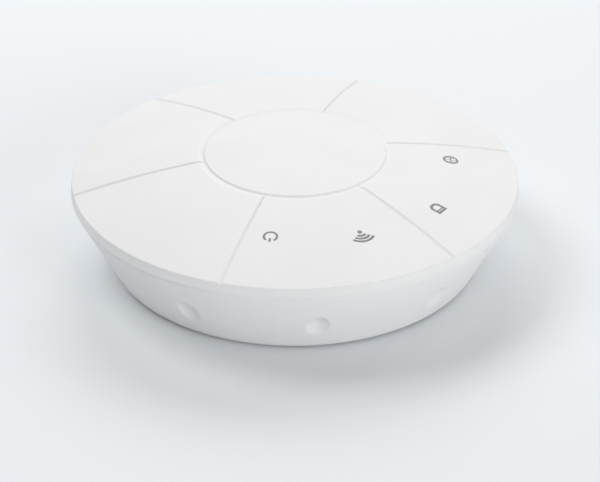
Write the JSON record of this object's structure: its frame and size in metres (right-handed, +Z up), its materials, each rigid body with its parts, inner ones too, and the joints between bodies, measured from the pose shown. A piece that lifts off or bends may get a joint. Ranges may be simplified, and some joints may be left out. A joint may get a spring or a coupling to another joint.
{
  "type": "ceiling access point",
  "caption": "Round domed wireless access point with a tapered dimpled housing, grooved cover, downward cable bay and a twist-off ceiling bracket.",
  "frame": {"origin": "centre of the base, level with the bottom of the rubber feet", "axes": "+Z up out of the domed cover, so towards the room when it hangs under a ceiling; -Y towards the front, where the printed icons are; +X to the right"},
  "size_m": [0.18, 0.18, 0.048],
  "materials": {
    "white_plastic": "satin white, fine moulded texture",
    "grey_plastic": "matt off-white, moulded",
    "foot_rubber": "matt grey",
    "zinc_steel": "zinc plated",
    "circuit_board": "green solder mask",
    "clear_plastic": "clear moulded",
    "led_lens": "pale lens",
    "tinned_sheet": "tin plated",
    "chip_black": "black moulded",
    "heat_aluminium": "plain",
    "thermal_silicone": "soft blue",
    "pin_brass": "gold flashed",
    "icon_ink": "printed grey"
  },
  "bodies": {
    "housing": {"top_cover": "white_plastic", "side_housing": "white_plastic", "base_plate": "grey_plastic", "rubber_foot_1": "foot_rubber", "rubber_foot_2": "foot_rubber", "rubber_foot_3": "foot_rubber", "rubber_foot_4": "foot_rubber", "case_screw_1": "zinc_steel", "case_screw_2": "zinc_steel", "case_screw_3": "zinc_steel", "case_screw_4": "zinc_steel", "board_screw_1": "zinc_steel", "board_screw_2": "zinc_steel", "board_screw_3": "zinc_steel", "board_screw_4": "zinc_steel", "main_board": "circuit_board", "light_pipe_1": "clear_plastic", "light_pipe_2": "clear_plastic", "light_pipe_3": "clear_plastic", "light_pipe_4": "clear_plastic", "status_led_1": "led_lens", "status_led_2": "led_lens", "status_led_3": "led_lens", "status_led_4": "led_lens", "antenna_1": "tinned_sheet", "antenna_2": "tinned_sheet", "antenna_3": "tinned_sheet", "antenna_4": "tinned_sheet", "radio_shield_left": "tinned_sheet", "radio_shield_right": "tinned_sheet", "lan_shell": "tinned_sheet", "processor": "chip_black", "memory_chip_1": "chip_black", "memory_chip_2": "chip_black", "network_transformer": "chip_black", "power_transformer": "chip_black", "power_choke_1": "chip_black", "power_choke_2": "chip_black", "lan_insert": "chip_black", "power_socket": "chip_black", "reset_switch": "chip_black", "heat_sink": "heat_aluminium", "capacitor_1": "heat_aluminium", "capacitor_2": "heat_aluminium", "capacitor_3": "heat_aluminium", "thermal_pad": "thermal_silicone", "power_pin": "pin_brass"},
    "bracket": {"mounting_bracket": "grey_plastic"},
    "reset": {"reset_button": "grey_plastic"}
  },
  "joints": [
    {"name": "bracket_twist", "type": "hinge", "parent": "housing", "child": "bracket", "pos_m": [0, 0, 0.0014], "axis": [0, 0, 1], "range_deg": [-30, 0]},
    {"name": "reset_press", "type": "slide", "parent": "housing", "child": "reset", "axis": [0, 1, 0], "range_m": [0, 0.0005], "stiffness_N_per_m": 3000}
  ]
}
